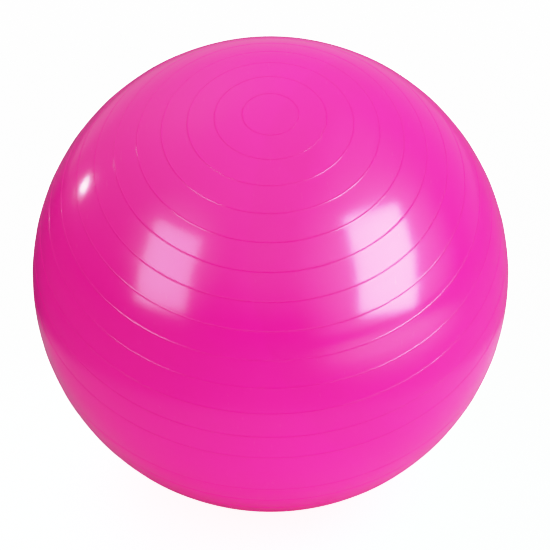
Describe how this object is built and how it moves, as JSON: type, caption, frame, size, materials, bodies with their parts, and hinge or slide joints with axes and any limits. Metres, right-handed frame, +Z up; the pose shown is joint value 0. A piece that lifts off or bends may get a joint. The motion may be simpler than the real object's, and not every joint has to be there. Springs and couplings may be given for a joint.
{
  "type": "exercise ball",
  "caption": "Air-filled ball with a ribbed soft PVC skin and a pull-out plug in a bonded valve seat. It carries a seated or lying person in balance and stretching exercises.",
  "frame": {"origin": "middle of the flat patch on which the ball rests, level with the floor", "axes": "+Z up, -Y towards the viewer; the axis shared by the ribs and the valve leans 25 degrees from +Z towards -Y, with the valve at its lower end, behind and under the ball"},
  "size_m": [0.6498, 0.6507, 0.6488],
  "materials": {
    "skin": "gloss",
    "seat": "satin",
    "plug": "satin"
  },
  "bodies": {
    "ball": {"ball_skin": "skin", "valve_seat": "seat"},
    "plug": {"valve_plug": "plug"}
  },
  "joints": [
    {"name": "plug_pull", "type": "slide", "parent": "ball", "child": "plug", "axis": [0, 0.4226, -0.9063], "range_m": [0, 0.024]}
  ]
}
